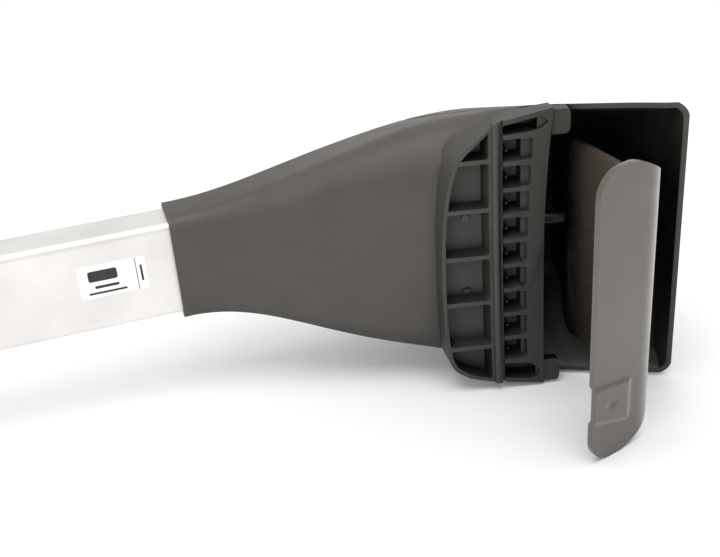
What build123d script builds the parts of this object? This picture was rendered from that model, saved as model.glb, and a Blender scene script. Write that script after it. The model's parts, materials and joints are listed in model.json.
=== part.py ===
from build123d import *
import os
from math import cos, radians, sin, tan

# Roof rack crossbar: an aluminium bar with a clamping foot at each end.
#
# The bar runs along X and the origin is on its axis at mid length. The side that faces the car's roof faces
# -Y, the side that carries the load faces +Y, and the car's length runs along Z: the crossbar lies on
# its side.
# All the pieces of a foot are made at the +X end. The foot at the -X end is their mirror image.

# ---------------------------------------------------------------- driving dimensions, in millimetres

bare_bar_length = 700.0  # between the mouths of the two feet
bar_insertion = 100.0  # length of bar inside each foot
bar_width = 52.0
bar_height = 23.0
bar_corner = 4.0
bar_wall = 2.0

slot_mouth = 11.0  # T-slot for accessories in the load face
slot_channel_width = 22.0
slot_channel_depth = 6.0
strip_clearance = 0.1

label_length = 34.0
label_width = 18.4
label_thickness = 0.2
label_to_foot = 14.6
label_offset = 3.0

shell_play = 0.5  # between the bar and the inside of the foot's shell
collar_length = 12.0  # part of the mouth that holds the bar
collar_clearance = 0.15
shell_wall = 2.5
foot_reach = 238.0  # from the mouth to the cover's outboard wall
rim_half_width = 76.0
rim_corner = 9.0
parting_gap = 0.6  # between the casing and the cover
hinge_gap = 2.0  # the same beside the hinge, where the cover swings up

pad_seam_start = 124.0  # where the casing's underside meets the pad, from the mouth
pad_seam_depth = 50.0  # and how far that is below the bar's axis
seam_drop = 2.4  # how far the casing reaches below the pad's top there
pad_slope = 12.5  # degrees, falling outboard
pad_thickness = 12.7
pad_inboard = 27.5  # from the bead to the inboard edge at mid width
pad_outboard = 23.5  # from the bead to the outboard edge at mid width
pad_half_width = 73.0  # at the bead
pad_corner_run = 3.5  # how much further outboard one corner of the pad is than its middle
pad_flare = 5.2  # how much wider the pad is at its outboard corners than at the bead
pad_draft_run = 2.6  # how much further inboard the seam is than the edge below it
pad_bow = 2.5
pad_pocket_depth = 8.0
pad_rib = 2.2
bead_width = 4.2
bead_height = 1.6
ear_length = 10.0
ear_width = 13.5
ear_thickness = 5.0
inner_rib_pitch = 26.1
inner_rib_shift = 1.2
outer_rib_pitch = 14.0
outer_rib_shift = 2.1
outer_rib_count = 10

bracket_sheet = 3.0
bracket_neck_width = 40.0
bracket_seat_width = 64.0
bar_bolt_diameter = 6.0
bar_bolt_spacing = 25.0
pad_screw_diameter = 2.6
pad_screw_head = 4.2
pad_screw_recess = 1.2
pad_screw_spacing = 42.0
hole_clearance = 0.4
contact_gap = 0.05

bolt_diameter = 8.0
bolt_reach = 68.0  # under the head
bolt_tilt = 15.0  # degrees, rising inboard
hex_across_flats = 13.0
bolt_head_height = 7.5
nut_height = 6.5
thread_clearance = 0.06
washer_diameter = 22.0
washer_thickness = 1.6

claw_sheet = 3.0
claw_lip_length = 42.5  # from the free edge to the bend's corner
claw_lip_tilt = 18.0  # degrees, rising outboard
claw_half_width = 78.0
claw_arm_half_width = 56.0
claw_arm_tilt = 10.0  # degrees from the Y axis
claw_drop = 142.0  # free edge below the bar's axis
claw_edge_reach = 166.0  # free edge from the mouth
claw_bend = 15.0
claw_knee_depth = 58.0
claw_flange_length = 36.0
claw_flange_half_width = 34.0
claw_corner = 13.0

hinge_reach = 124.0  # hinge pin from the mouth
hinge_pin_diameter = 4.0
hinge_barrel_radius = 5.0
hinge_barrel_half_length = 34.0
hinge_lug_thickness = 5.5
running_clearance = 0.06
side_clearance = 0.4

lock_reach = 165.0  # lock axis from the mouth
lock_barrel_diameter = 12.0
lock_housing_diameter = 18.0
lock_flange_diameter = 21.0
lock_length = 22.0
tongue_thickness = 2.0
tongue_width = 8.0
tongue_reach = 16.0
catch_sheet = 2.0

# ---------------------------------------------------------------- sizes worked out from them

mouth_x = bare_bar_length / 2
bar_half_height = bar_height / 2
lip = shell_wall + shell_play  # how far the foot's mouth stands proud of the bar
foot_top = bar_half_height + lip
bar_length = bare_bar_length + 2 * bar_insertion
slope = radians(pad_slope)

# The foot's outer skin at stations from the mouth outwards: distance from the mouth, top, bottom, half width
# at the top, how much the half width grows per millimetre down the side, and the two corner radii.
STATIONS = (
    (0.0, foot_top, -foot_top, bar_width / 2 + lip - 0.5, 0.017, 6.0, 6.0),
    (12.0, foot_top, -foot_top - 0.3, bar_width / 2 + lip + 0.2, 0.015, 7.0, 7.0),
    (30.0, foot_top, -foot_top - 3.7, bar_width / 2 + 5.2, 0.055, 8.0, 9.0),
    (60.0, foot_top, -foot_top - 13.5, bar_width / 2 + 10.4, 0.176, 9.0, 11.0),
    (90.0, foot_top, -39.0, bar_width / 2 + 16.0, 0.27, 10.0, 13.0),
    (120.0, foot_top, -50.5, bar_width / 2 + 20.5, 0.34, 12.0, 18.0),
    (150.0, foot_top - 1.2, -63.0, bar_width / 2 + 23.0, 0.35, 13.0, 16.0),
    (175.0, foot_top - 7.0, -78.0, bar_width / 2 + 22.5, 0.385, 14.0, 11.0),
    (195.0, foot_top - 17.0, -90.0, bar_width / 2 + 22.0, 0.40, 14.0, 10.0),
    (212.0, foot_top - 32.5, -100.0, bar_width / 2 + 24.5, 0.41, 14.0, 10.0),
    (foot_reach - 14.0, foot_top - 54.5, -108.0, bar_width / 2 + 31.0, 0.41, 14.0, 10.0),
    (foot_reach - 6.0, foot_top - 79.5, -114.0, 66.0, 0.40, 12.0, 10.0),
    (foot_reach, -97.0, -120.0, rim_half_width, 0.40, 6.0, 6.0),
)


def at(distance):
    """X of a place given by its distance from the mouth of the +X foot."""
    return mouth_x + distance


def pad_plane_y(distance):
    """Y of the seam between casing and pad."""
    return -pad_seam_depth - (distance - pad_seam_start) * tan(slope)


bead_distance = 151.0  # the bead across the pad, from the mouth
bead_y = pad_plane_y(bead_distance) - pad_thickness / cos(slope)

bolt_up = radians(bolt_tilt)
bolt_out = Vector(cos(bolt_up), -sin(bolt_up), 0)  # from the nut towards the bolt's head
flange_dir = Vector(sin(bolt_up), cos(bolt_up), 0)

lip_rise = radians(claw_lip_tilt)
arm_lean = radians(claw_arm_tilt)
lip_edge = Vector(at(claw_edge_reach), -claw_drop, 0)
bend_corner = lip_edge + Vector(cos(lip_rise), sin(lip_rise), 0) * claw_lip_length
knee_rise = (-claw_knee_depth - bend_corner.Y) / cos(arm_lean)
knee = bend_corner + Vector(-sin(arm_lean), cos(arm_lean), 0) * knee_rise
flange_tip = knee + flange_dir * claw_flange_length
bolt_seat = knee + flange_dir * (claw_flange_length * 0.55)

# ---------------------------------------------------------------- helpers


def foot_section(station, inset):
    """One closed cross-section of the foot, at a station, moved inwards by inset."""
    distance, top, bottom, half_top, growth, top_corner, bottom_corner = station
    top_y = top - inset
    bottom_y = bottom + inset
    half_at_top = half_top + (top - top_y) * growth - inset * (1 + growth**2) ** 0.5
    half_at_bottom = half_top + (top - bottom_y) * growth - inset * (1 + growth**2) ** 0.5
    with BuildSketch(Plane.YZ.offset(at(distance))) as section:
        with BuildLine():
            Polyline(
                (top_y, -half_at_top),
                (top_y, half_at_top),
                (bottom_y, half_at_bottom),
                (bottom_y, -half_at_bottom),
                close=True,
            )
        make_face()
        fillet(section.vertices().group_by(Axis.X)[-1], top_corner - inset)
        fillet(section.vertices().group_by(Axis.X)[0], bottom_corner - inset)
    return section.sketch


def slab(points, half_depth):
    """A flat polygon in the XY plane, thickened both ways along Z."""
    with BuildPart() as block:
        with BuildSketch(Plane.XY):
            with BuildLine():
                Polyline(*points, close=True)
            make_face()
        extrude(amount=half_depth, both=True)
    return block.part


def rod(start, direction, radius, length):
    """A cylinder from a point, along a direction."""
    with BuildPart() as cylinder:
        with BuildSketch(Plane(origin=start, z_dir=direction)):
            Circle(radius)
        extrude(amount=length)
    return cylinder.part


def hexagon(start, direction, across_flats, length):
    """A hexagonal bar from a point, along a direction."""
    with BuildPart() as bar_of_six:
        with BuildSketch(Plane(origin=start, z_dir=direction)):
            RegularPolygon(across_flats / 2, 6, major_radius=False)
        extrude(amount=length)
    return bar_of_six.part


# ---------------------------------------------------------------- bar

with BuildPart() as bar:
    with BuildSketch(Plane.YZ.offset(-bar_length / 2)):
        RectangleRounded(bar_height, bar_width, bar_corner)
        RectangleRounded(
            bar_height - 2 * bar_wall,
            bar_width - 2 * bar_wall,
            bar_corner - bar_wall,
            mode=Mode.SUBTRACT,
        )
        channel_floor = bar_half_height - bar_wall - slot_channel_depth
        with Locations(((channel_floor - bar_wall + bar_half_height - bar_wall) / 2, 0)):
            Rectangle(slot_channel_depth + bar_wall, slot_channel_width + 2 * bar_wall)
        with Locations((channel_floor + slot_channel_depth / 2, 0)):
            Rectangle(slot_channel_depth, slot_channel_width, mode=Mode.SUBTRACT)
        with Locations((bar_half_height - bar_wall / 2, 0)):
            Rectangle(bar_wall, slot_mouth, mode=Mode.SUBTRACT)
    extrude(amount=bar_length)
    bolt_places = [
        side * (mouth_x + 60 + step * bar_bolt_spacing) for side in (-1, 1) for step in (0, 1)
    ]
    with Locations([Plane(origin=(x, -bar_half_height, 0), z_dir=(0, 1, 0)) for x in bolt_places]):
        Cylinder(
            bar_bolt_diameter / 2 + hole_clearance,
            2 * bar_wall + 1,
            align=(Align.CENTER, Align.CENTER, Align.CENTER),
            mode=Mode.SUBTRACT,
        )

with BuildPart() as slot_strip:
    with BuildSketch(Plane.YZ.offset(-bar_length / 2 + 6)):
        strip_top = bar_half_height
        with Locations((strip_top - bar_wall / 2, 0)):
            Rectangle(bar_wall, slot_mouth - 2 * strip_clearance)
        with Locations((strip_top - bar_wall - 0.9, 0)):
            Rectangle(1.8, slot_channel_width - 2 * strip_clearance)
    extrude(amount=bar_length - 12)

with BuildPart() as info_label:
    with BuildSketch(Plane.XZ.offset(bar_half_height)):
        with Locations((mouth_x - label_to_foot - label_length / 2, label_offset)):
            RectangleRounded(label_length, label_width, 1.0)
    extrude(amount=label_thickness)

with BuildPart() as bar_plug:
    plug_start = mouth_x + bar_insertion
    with BuildSketch(Plane.YZ.offset(plug_start)):
        RectangleRounded(bar_height - 0.6, bar_width - 0.6, bar_corner - 0.3)
    extrude(amount=2.0)
    with BuildSketch(Plane.YZ.offset(plug_start - 8)):
        with Locations((-(bar_half_height - bar_wall - 4.6), 0)):
            RectangleRounded(8.4, bar_width - 2 * bar_wall - 1.0, 2.0)
    extrude(amount=8.0)

# ---------------------------------------------------------------- the foot's outer shape, shared by
# two shells

PLAN_SIDE = 100.0  # beyond the widest part of the foot

with BuildPart() as foot_outside:
    for station in STATIONS:
        add(foot_section(station, 0.0))
    loft()
    with BuildSketch(Plane.XZ.offset(-foot_top - 5)):
        with BuildLine():
            FilletPolyline(
                (at(-1), -PLAN_SIDE),
                (at(130), -PLAN_SIDE),
                (at(185), -rim_half_width - 4),
                (at(foot_reach), -rim_half_width),
                (at(foot_reach), rim_half_width),
                (at(185), rim_half_width + 4),
                (at(130), PLAN_SIDE),
                (at(-1), PLAN_SIDE),
                radius=rim_corner,
                close=True,
            )
        make_face()
    extrude(amount=150, mode=Mode.INTERSECT)

with BuildPart() as foot_inside:
    for station in STATIONS[1:]:
        add(foot_section(station, shell_wall))
    loft()
    with BuildSketch(Plane.XZ.offset(-foot_top - 5)):
        with BuildLine():
            inner_reach = foot_reach - shell_wall
            FilletPolyline(
                (at(-1), -PLAN_SIDE),
                (at(130), -PLAN_SIDE),
                (at(185), -rim_half_width - 4 + shell_wall),
                (at(inner_reach), -rim_half_width + shell_wall),
                (at(inner_reach), rim_half_width - shell_wall),
                (at(185), rim_half_width + 4 - shell_wall),
                (at(130), PLAN_SIDE),
                (at(-1), PLAN_SIDE),
                radius=rim_corner - shell_wall,
                close=True,
            )
        make_face()
    extrude(amount=150, mode=Mode.INTERSECT)


# The parting line runs from the hinge down to the pad's outboard edge, in side view.
pad_end = bead_distance + (pad_outboard + pad_corner_run) * cos(slope)
parting_top = (at(hinge_reach + hinge_barrel_radius + 1), foot_top + 5)
parting_low = (at(pad_end + 5), pad_plane_y(pad_end + 5))

seam_y = -pad_seam_depth - seam_drop
seam_fall = (seam_y - parting_low[1]) / (parting_low[0] - at(pad_seam_start))


def seam_line_y(distance):
    """Y of the face where the casing, the pad and the bracket meet."""
    return seam_y - (distance - pad_seam_start) * seam_fall


casing_side = slab(
    [
        (at(-1), foot_top + 5),
        parting_top,
        (at(hinge_reach + hinge_barrel_radius + 1), hinge_barrel_radius),
        parting_low,
        (at(0), seam_line_y(0)),
        (at(-1), seam_line_y(0)),
    ],
    PLAN_SIDE,
)
rim_inboard_y = parting_low[1] - 3.0
rim_outboard_y = rim_inboard_y - (foot_reach - pad_end) * tan(radians(24.0))
cover_side = slab(
    [
        (parting_top[0] + hinge_gap, foot_top + 5),
        (parting_top[0] + hinge_gap, hinge_barrel_radius),
        (parting_low[0] + parting_gap, parting_low[1]),
        (parting_low[0] + parting_gap, rim_inboard_y),
        (at(foot_reach + 1), rim_outboard_y),
        (at(foot_reach + 1), foot_top + 5),
    ],
    PLAN_SIDE,
)

# ---------------------------------------------------------------- the foot's hinge

hinge_y = foot_top - hinge_barrel_radius
hinge_point = (at(hinge_reach), hinge_y)
lug_start = hinge_barrel_half_length + side_clearance
pin_radius = hinge_pin_diameter / 2


def across(radius, start, end):
    """A cylinder along the hinge's axis, between two distances from mid width."""
    return rod(Vector(hinge_point[0], hinge_point[1], start), Vector(0, 0, 1), radius, end - start)


with BuildPart() as hinge_pin:
    pin_half = lug_start + hinge_lug_thickness - 0.5
    add(across(pin_radius, -pin_half, pin_half))
    chamfer(hinge_pin.edges(), 0.4)

# ---------------------------------------------------------------- casing

with BuildPart() as casing:
    add(foot_outside.part)
    add(foot_inside.part, mode=Mode.SUBTRACT)
    add(casing_side, mode=Mode.INTERSECT)
    with BuildSketch(Plane.YZ.offset(at(-1))):
        RectangleRounded(
            bar_height + 2 * collar_clearance, bar_width + 2 * collar_clearance, bar_corner
        )
    extrude(amount=collar_length + 3, mode=Mode.SUBTRACT)
    for side in (-1, 1):
        with BuildSketch(Plane.XY.offset(side * lug_start)):
            with Locations((at(hinge_reach), hinge_y)):
                Circle(hinge_barrel_radius)
            with Locations((at(hinge_reach) - 6, hinge_y + 0.5)):
                Rectangle(12, 2 * hinge_barrel_radius - 1)
        extrude(amount=side * hinge_lug_thickness)
    with BuildSketch(Plane.XY):
        with Locations((at(hinge_reach) + 1, foot_top - 3)):
            Rectangle(2 * hinge_barrel_radius + 3.4, 16)
    extrude(amount=lug_start, both=True, mode=Mode.SUBTRACT)
    add(across(pin_radius + running_clearance, -PLAN_SIDE / 2, PLAN_SIDE / 2), mode=Mode.SUBTRACT)

# ---------------------------------------------------------------- cover

lock_x = at(lock_reach)
lock_top = foot_top

with BuildPart() as cover:
    add(foot_outside.part)
    add(foot_inside.part, mode=Mode.SUBTRACT)
    add(cover_side, mode=Mode.INTERSECT)
    add(across(hinge_barrel_radius, -hinge_barrel_half_length, hinge_barrel_half_length))
    with BuildSketch(Plane.XY):
        web_width = hinge_barrel_radius + 4
        with Locations((at(hinge_reach) + web_width / 2, foot_top - shell_wall / 2 - 0.2)):
            Rectangle(web_width, shell_wall)
    extrude(amount=hinge_barrel_half_length, both=True)
    add(across(pin_radius + running_clearance, -PLAN_SIDE / 2, PLAN_SIDE / 2), mode=Mode.SUBTRACT)
    add(
        rod(
            Vector(lock_x, 0, 0),
            Vector(0, 1, 0),
            lock_housing_diameter / 2 + collar_clearance,
            2 * foot_top,
        ),
        mode=Mode.SUBTRACT,
    )

# ---------------------------------------------------------------- lock

barrel_radius = lock_barrel_diameter / 2
housing_low = lock_top - lock_length

with BuildPart() as lock_housing:
    add(rod(Vector(lock_x, lock_top, 0), Vector(0, 1, 0), lock_flange_diameter / 2, 2.0))
    add(
        rod(
            Vector(lock_x, housing_low, 0),
            Vector(0, 1, 0),
            lock_housing_diameter / 2,
            lock_length + 0.5,
        )
    )
    add(
        rod(
            Vector(lock_x, housing_low - 5, 0),
            Vector(0, 1, 0),
            barrel_radius + running_clearance,
            lock_length + 20,
        ),
        mode=Mode.SUBTRACT,
    )
    top_rings = lock_housing.edges().filter_by(GeomType.CIRCLE).sort_by(Axis.Y)[-2:]
    fillet(top_rings.sort_by(SortBy.LENGTH)[-1], 1.0)

tongue_top = housing_low - contact_gap

with BuildPart() as lock_barrel:
    add(
        rod(
            Vector(lock_x, tongue_top, 0),
            Vector(0, 1, 0),
            barrel_radius,
            lock_top + 1.6 - tongue_top,
        )
    )
    with BuildSketch(Plane.XZ.offset(-(lock_top + 1.6))):
        with Locations((lock_x, 0)):
            Rectangle(1.4, 6.0)
    extrude(amount=4.0, mode=Mode.SUBTRACT)
    with BuildSketch(Plane.XZ.offset(-tongue_top)):
        with Locations((lock_x, 0)):
            Circle(1.25)
    extrude(amount=-8.0, mode=Mode.SUBTRACT)

with BuildPart() as lock_tongue:
    with BuildSketch(Plane.XZ.offset(-tongue_top)):
        with Locations((lock_x, 0)):
            Circle(barrel_radius)
        with Locations((lock_x, tongue_reach / 2)):
            Rectangle(tongue_width, tongue_reach)
        with Locations((lock_x, 0)):
            Circle(1.7, mode=Mode.SUBTRACT)
    extrude(amount=tongue_thickness)

with BuildPart() as tongue_screw:
    screw_top = tongue_top - tongue_thickness
    add(rod(Vector(lock_x, screw_top, 0), Vector(0, -1, 0), 3.0, 1.8))
    add(rod(Vector(lock_x, screw_top, 0), Vector(0, 1, 0), 1.2, 8.0))
    with BuildSketch(Plane.XZ.offset(-(screw_top - 1.8))):
        with Locations((lock_x, 0)):
            Rectangle(5.0, 0.8)
    extrude(amount=-0.9, mode=Mode.SUBTRACT)

# ---------------------------------------------------------------- roof pad

pad_plane = Plane(
    origin=(at(bead_distance), bead_y, 0),
    x_dir=(cos(slope), -sin(slope), 0),
    z_dir=(-sin(slope), -cos(slope), 0),
)


# Points of the pad's inboard edge, as shares of its reach inboard and of its half width: at its underside and
# at the seam, where its corners are fuller.
UNDER_SHARES = ((0.36, 0.88), (0.72, 0.72), (0.93, 0.36), (1.0, -0.18), (0.94, -0.76), (0.62, -0.93))
SEAM_SHARES = ((0.34, 0.92), (0.72, 0.83), (0.94, 0.50), (1.0, -0.18), (0.95, -0.72), (0.68, -0.92))


def pad_outline(shrink, shares=UNDER_SHARES, grow=0.0, tuck=0.0):
    """The pad's outline seen from below, bead at zero. Shrink moves all its edges inwards, grow moves the
    inboard edge further inboard, and tuck brings the outboard corners in."""
    edge = pad_inboard - shrink + grow
    half = pad_half_width - shrink
    outboard = pad_outboard - shrink
    corner = pad_flare - tuck
    with BuildSketch() as outline:
        with BuildLine():
            Spline((0, half), *[(-a * edge, z * half) for a, z in shares], (0, -half))
            Line((0, -half), (outboard, -half - 0.6 * corner))
            ThreePointArc(
                (outboard, -half - 0.6 * corner),
                (outboard - 0.2, 0),
                (outboard + pad_corner_run, half + corner),
            )
            Line((outboard + pad_corner_run, half + corner), (0, half))
        make_face()
    return outline.sketch


def pocket_field(low, high, walls, shrink):
    """The part of the pad's outline between two lines, less the ribs across it."""
    with BuildSketch() as field:
        add(pad_outline(shrink))
        with Locations(((low + high) / 2, 0)):
            Rectangle(high - low, 4 * pad_half_width, mode=Mode.INTERSECT)
        for wall in walls:
            with Locations(((low + high) / 2, wall)):
                Rectangle(high - low, pad_rib, mode=Mode.SUBTRACT)
    return field.sketch


inner_walls = [inner_rib_shift + step * inner_rib_pitch for step in (-2, -1, 0, 1, 2)]
outer_middle = (outer_rib_count - 1) / 2
outer_walls = [
    outer_rib_shift + (step - outer_middle) * outer_rib_pitch for step in range(outer_rib_count)
]
bow_radius = (pad_half_width**2 + pad_bow**2) / (2 * pad_bow)
screw_places = [(-14.5, side * pad_screw_spacing / 2) for side in (-1, 1)]
ear_places = (70.0, -69.0)


def bow_tool(depth):
    """A long cylinder along the pad's slope that hollows the pad's underside at mid width."""
    centre = Vector(at(bead_distance), bead_y, 0) + pad_plane.z_dir * (bow_radius - depth)
    return rod(centre - pad_plane.x_dir * 60, pad_plane.x_dir, bow_radius, 120)


with BuildPart() as roof_pad:
    with BuildSketch(pad_plane):
        add(pad_outline(0))
    with BuildSketch(pad_plane.offset(-pad_thickness)):
        add(pad_outline(0, SEAM_SHARES, pad_draft_run, pad_flare / 2))
    loft()
    add(casing_side, mode=Mode.SUBTRACT)
    with BuildSketch(pad_plane.offset(-1.0)):
        for place in ear_places:
            with Locations((pad_outboard + ear_length / 2 - 2, place)):
                RectangleRounded(ear_length + 4, ear_width, 3.5)
    extrude(amount=-ear_thickness)
    with BuildSketch(pad_plane):
        add(pocket_field(-60, -2.6, inner_walls, 2.4))
        add(pocket_field(3.2, 16.0, outer_walls, 2.0))
    extrude(amount=-pad_pocket_depth, mode=Mode.SUBTRACT)
    add(bow_tool(pad_bow), mode=Mode.SUBTRACT)
    with BuildSketch(pad_plane.offset(bead_height)):
        Rectangle(bead_width, 2 * pad_half_width)
    extrude(amount=-(bead_height + pad_bow + 1.5))
    add(bow_tool(pad_bow - bead_height), mode=Mode.SUBTRACT)
    for place in screw_places:
        floor = pad_plane.from_local_coords(Vector(place[0], place[1], -pad_pocket_depth))
        up = pad_plane.z_dir * -1
        head_radius = (pad_screw_head + hole_clearance) / 2
        shank_radius = (pad_screw_diameter + hole_clearance) / 2
        add(rod(floor - up, up, head_radius, pad_screw_recess + 1), mode=Mode.SUBTRACT)
        add(rod(floor, up, shank_radius, pad_thickness), mode=Mode.SUBTRACT)


with BuildPart() as pad_screws:
    for place in screw_places:
        seat_depth = pad_pocket_depth + pad_screw_recess - contact_gap
        seat = pad_plane.from_local_coords(Vector(place[0], place[1], -seat_depth))
        up = pad_plane.z_dir * -1
        add(rod(seat, pad_plane.z_dir, pad_screw_head / 2, 1.4))
        add(rod(seat, up, pad_screw_diameter / 2, pad_thickness - seat_depth + bracket_sheet))

# ---------------------------------------------------------------- steel bracket, between bar, pad and claw

half_sheet = bracket_sheet / 2
bracket_y = -bar_half_height - half_sheet - contact_gap
seat_lift = half_sheet + contact_gap
seat_start_distance = 139.5
seat_start = (at(seat_start_distance), seam_line_y(seat_start_distance) + seat_lift)
plate_foot_distance = 147.5
seat_inner_distance = plate_foot_distance - 5.4
seat_inner = (at(seat_inner_distance), seam_line_y(seat_inner_distance) + seat_lift)
plate_foot = Vector(at(plate_foot_distance), seam_line_y(plate_foot_distance) + seat_lift, 0)
plate_rise = (-16.0 - plate_foot.Y) / flange_dir.Y
plate_tip = plate_foot + flange_dir * plate_rise


def sheet_profile(points, half_depth, bend_radius):
    """Bent sheet metal: a line in side view, given thickness and then width along Z."""
    with BuildPart() as sheet:
        with BuildSketch(Plane.XY):
            with BuildLine():
                FilletPolyline(*points, radius=bend_radius)
            trace(line_width=bracket_sheet)
        extrude(amount=half_depth, both=True)
    return sheet.part


# The bolt's axis crosses the upright plate here.
reach_to_plate = (bolt_seat - plate_foot).cross(flange_dir).Z / bolt_out.cross(flange_dir).Z
nut_seat = bolt_seat - bolt_out * reach_to_plate

with BuildPart() as bracket:
    add(
        sheet_profile(
            [(at(42), bracket_y), (at(106), bracket_y), seat_start, seat_inner],
            bracket_neck_width / 2,
            4.0,
        )
    )
    add(
        sheet_profile(
            [seat_start, (plate_foot.X, plate_foot.Y), (plate_tip.X, plate_tip.Y)],
            bracket_seat_width / 2,
            4.0,
        )
    )
    add(
        rod(nut_seat - bolt_out * 10, bolt_out, bolt_diameter / 2 + hole_clearance, 20),
        mode=Mode.SUBTRACT,
    )
    for x in bolt_places[2:]:
        add(
            rod(
                Vector(x, bracket_y - 5, 0),
                Vector(0, 1, 0),
                bar_bolt_diameter / 2 + hole_clearance,
                10,
            ),
            mode=Mode.SUBTRACT,
        )
    for place in screw_places:
        add(
            rod(
                pad_plane.from_local_coords(Vector(place[0], place[1], 0)),
                pad_plane.z_dir * -1,
                pad_screw_diameter / 2 + contact_gap,
                pad_thickness + 2 * bracket_sheet,
            ),
            mode=Mode.SUBTRACT,
        )

with BuildPart() as bar_bolts:
    for x in bolt_places[2:]:
        head_y = bracket_y - half_sheet - contact_gap
        add(hexagon(Vector(x, head_y, 0), Vector(0, -1, 0), 10.0, 4.0))
        add(rod(Vector(x, head_y, 0), Vector(0, 1, 0), bar_bolt_diameter / 2, 12.0))

with BuildPart() as lock_catch:
    catch_top = housing_low + 2.0
    leg_gap = half_sheet * sin(bolt_up) + contact_gap
    with BuildSketch(Plane.YZ.offset(lock_x - tongue_reach - 3)):
        with Locations((catch_top - catch_sheet / 2, 0)):
            Rectangle(catch_sheet, 2 * tongue_reach + 10)
        for side in (-1, 1):
            with Locations(((catch_top + plate_tip.Y) / 2, side * (tongue_reach + 4))):
                Rectangle(catch_top - plate_tip.Y - 2 * leg_gap, catch_sheet)
    extrude(amount=tongue_reach - barrel_radius)

# ---------------------------------------------------------------- clamping bolt and nut

with BuildPart() as captive_nut:
    nut_face = nut_seat - bolt_out * (half_sheet + contact_gap)
    add(hexagon(nut_face, bolt_out * -1, hex_across_flats, nut_height))
    add(
        rod(
            nut_face + bolt_out * 5,
            bolt_out * -1,
            bolt_diameter / 2 + thread_clearance,
            nut_height + 10,
        ),
        mode=Mode.SUBTRACT,
    )

claw_half_sheet = claw_sheet / 2
washer_seat = bolt_seat + bolt_out * (claw_half_sheet + contact_gap)
head_seat = washer_seat + bolt_out * (washer_thickness + contact_gap)

with BuildPart() as claw_washer:
    add(rod(washer_seat, bolt_out, washer_diameter / 2, washer_thickness))
    add(
        rod(washer_seat - bolt_out * 2, bolt_out, bolt_diameter / 2 + hole_clearance, 6),
        mode=Mode.SUBTRACT,
    )

with BuildPart() as claw_bolt:
    add(hexagon(head_seat, bolt_out, hex_across_flats, bolt_head_height))
    add(rod(head_seat, bolt_out, 8.5, 1.5))
    add(rod(head_seat, bolt_out * -1, bolt_diameter / 2, bolt_reach))
    socket_floor = head_seat + bolt_out * (bolt_head_height - 4)
    add(hexagon(socket_floor, bolt_out, 6.0, 6), mode=Mode.SUBTRACT)

# ---------------------------------------------------------------- claw

# Half the claw's width at heights from the free edge up to the flange.
claw_half_outline = [
    (lip_edge.Y - 8, claw_half_width - claw_corner),
    (lip_edge.Y + claw_corner * sin(lip_rise) * 0.25, claw_half_width - claw_corner * 0.45),
    (lip_edge.Y + claw_corner * sin(lip_rise), claw_half_width),
    (bend_corner.Y - 2, claw_half_width - 1.5),
    (bend_corner.Y + 9, claw_half_width - 9),
    (bend_corner.Y + 24, claw_arm_half_width),
    (knee.Y, claw_arm_half_width - 2),
    (knee.Y + 12, claw_flange_half_width),
    (flange_tip.Y + 5, claw_flange_half_width),
]

with BuildPart() as claw:
    with BuildSketch(Plane.XY):
        with BuildLine():
            FilletPolyline(
                (lip_edge.X, lip_edge.Y),
                (bend_corner.X, bend_corner.Y),
                (knee.X, knee.Y),
                (flange_tip.X, flange_tip.Y),
                radius=claw_bend,
            )
        trace(line_width=claw_sheet)
    extrude(amount=claw_half_width, both=True)
    with BuildSketch(Plane.YZ):
        with BuildLine():
            FilletPolyline(
                *[(height, half) for height, half in claw_half_outline],
                *[(height, -half) for height, half in reversed(claw_half_outline)],
                radius=2.5,
                close=True,
            )
        make_face()
    extrude(amount=2 * at(foot_reach), both=True, mode=Mode.INTERSECT)
    add(
        rod(bolt_seat - bolt_out * 10, bolt_out, bolt_diameter / 2 + hole_clearance, 20),
        mode=Mode.SUBTRACT,
    )

# ---------------------------------------------------------------- writing the pieces

SHARED = {"bar": bar.part, "slot_strip": slot_strip.part, "info_label": info_label.part}
FOOT = {
    "casing": casing.part,
    "roof_pad": roof_pad.part,
    "pad_screws": pad_screws.part,
    "bracket": bracket.part,
    "bar_bolts": bar_bolts.part,
    "bar_plug": bar_plug.part,
    "captive_nut": captive_nut.part,
    "lock_catch": lock_catch.part,
    "cover": cover.part,
    "hinge_pin": hinge_pin.part,
    "lock_housing": lock_housing.part,
    "lock_barrel": lock_barrel.part,
    "lock_tongue": lock_tongue.part,
    "tongue_screw": tongue_screw.part,
    "claw": claw.part,
    "claw_washer": claw_washer.part,
    "claw_bolt": claw_bolt.part,
}

os.makedirs("parts", exist_ok=True)
for name, piece in SHARED.items():
    piece.label = name
    export_step(piece, f"parts/{name}.step")
for name, piece in FOOT.items():
    for side in ("right", "left"):
        placed = piece if side == "right" else mirror(piece, about=Plane.YZ)
        placed.label = f"{side}_{name}"
        export_step(placed, f"parts/{side}_{name}.step")
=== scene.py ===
import json
from math import cos, pi, radians, sin, sqrt, tan

import bmesh
import bpy
from mathutils import Matrix, Vector


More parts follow.
